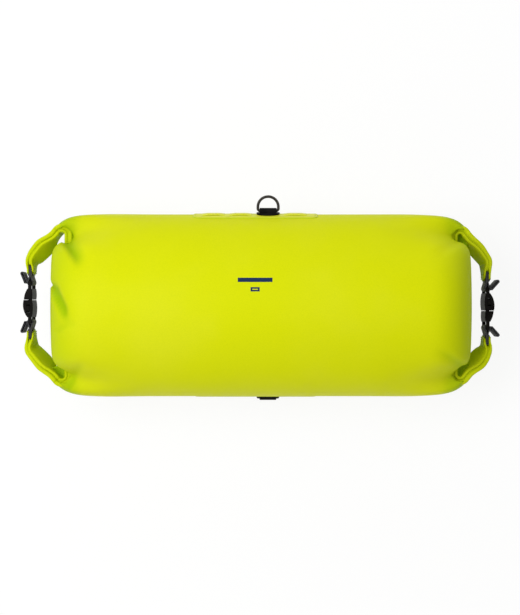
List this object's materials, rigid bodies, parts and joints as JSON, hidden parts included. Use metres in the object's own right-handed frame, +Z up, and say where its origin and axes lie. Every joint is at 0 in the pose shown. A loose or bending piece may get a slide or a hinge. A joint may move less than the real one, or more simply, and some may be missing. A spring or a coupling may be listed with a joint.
{
  "type": "tail bag",
  "caption": "Roll-closed waterproof tail bag: welded fabric tube with buckled rolled ends that form carry loops, lash strips and swinging D-rings.",
  "frame": {"origin": "middle of the flat underside the bag lies on", "axes": "+X along the tube towards its right end, +Y towards the rear side with the upright D-ring, +Z up out of the printed face"},
  "size_m": [0.6385, 0.2765, 0.2],
  "materials": {
    "tube_fabric": "satin coated fabric, welded, lime yellow-green",
    "seam_tape": "welded seam tape, same coated fabric",
    "strip_fabric": "welded lash strip, same coated fabric",
    "webbing": "woven black webbing",
    "buckle_plastic": "black acetal, fine spark texture",
    "base_plastic": "black moulded, satin",
    "ring_plastic": "black moulded, polished",
    "stiffener_plastic": "plain extruded strip"
  },
  "bodies": {
    "bag": {"bag_tube": "tube_fabric", "tube_seam": "seam_tape", "front_lash_strip": "strip_fabric", "rear_lash_strip": "strip_fabric", "front_ring_base": "base_plastic", "rear_ring_base": "base_plastic", "left_roll": "tube_fabric", "left_stiffener": "stiffener_plastic", "left_socket_tail": "tube_fabric", "left_plug_tail": "tube_fabric", "left_socket_webbing": "webbing", "left_socket_pull_loop": "webbing", "left_socket": "buckle_plastic", "right_roll": "tube_fabric", "right_stiffener": "stiffener_plastic", "right_socket_tail": "tube_fabric", "right_plug_tail": "tube_fabric", "right_socket_webbing": "webbing", "right_socket_pull_loop": "webbing", "right_socket": "buckle_plastic"},
    "front_ring": {"front_ring": "ring_plastic"},
    "rear_ring": {"rear_ring": "ring_plastic"},
    "left_plug_half": {"left_plug": "buckle_plastic", "left_plug_webbing": "webbing", "left_plug_pull_loop": "webbing"},
    "left_upper_arm": {"left_release_arm_upper": "buckle_plastic"},
    "left_lower_arm": {"left_release_arm_lower": "buckle_plastic"},
    "right_plug_half": {"right_plug": "buckle_plastic", "right_plug_webbing": "webbing", "right_plug_pull_loop": "webbing"},
    "right_upper_arm": {"right_release_arm_upper": "buckle_plastic"},
    "right_lower_arm": {"right_release_arm_lower": "buckle_plastic"}
  },
  "joints": [
    {"name": "front_ring_swing", "type": "hinge", "parent": "bag", "child": "front_ring", "pos_m": [0.0095, -0.12618, 0.05479], "axis": [1, 0, 0], "range_deg": [-164.52, 15.48]},
    {"name": "rear_ring_swing", "type": "hinge", "parent": "bag", "child": "rear_ring", "pos_m": [0.0095, 0.12656, 0.10298], "axis": [1, 0, 0], "range_deg": [-90, 90]},
    {"name": "left_unplug", "type": "slide", "parent": "bag", "child": "left_plug_half", "axis": [0, 1, 0], "range_m": [0, 0.017], "deforming": ["left_plug_tail", "left_release_arm_upper", "left_release_arm_lower"]},
    {"name": "left_upper_squeeze", "type": "hinge", "parent": "left_plug_half", "child": "left_upper_arm", "pos_m": [-0.309, 0.00715, 0.109], "axis": [1, 0, 0], "range_deg": [0, 15], "stiffness_Nm_per_rad": 0.3},
    {"name": "left_lower_squeeze", "type": "hinge", "parent": "left_plug_half", "child": "left_lower_arm", "pos_m": [-0.309, 0.00715, 0.087], "axis": [-1, 0, 0], "range_deg": [0, 15], "stiffness_Nm_per_rad": 0.3},
    {"name": "right_unplug", "type": "slide", "parent": "bag", "child": "right_plug_half", "axis": [0, -1, 0], "range_m": [0, 0.017], "deforming": ["right_plug_tail", "right_release_arm_upper", "right_release_arm_lower"]},
    {"name": "right_upper_squeeze", "type": "hinge", "parent": "right_plug_half", "child": "right_upper_arm", "pos_m": [0.303, -0.00715, 0.109], "axis": [-1, 0, 0], "range_deg": [0, 15], "stiffness_Nm_per_rad": 0.3},
    {"name": "right_lower_squeeze", "type": "hinge", "parent": "right_plug_half", "child": "right_lower_arm", "pos_m": [0.303, -0.00715, 0.087], "axis": [1, 0, 0], "range_deg": [0, 15], "stiffness_Nm_per_rad": 0.3}
  ],
  "couplings": [
    {"joint": "left_lower_squeeze", "follows": "left_upper_squeeze", "ratio": 1},
    {"joint": "right_lower_squeeze", "follows": "right_upper_squeeze", "ratio": 1}
  ]
}
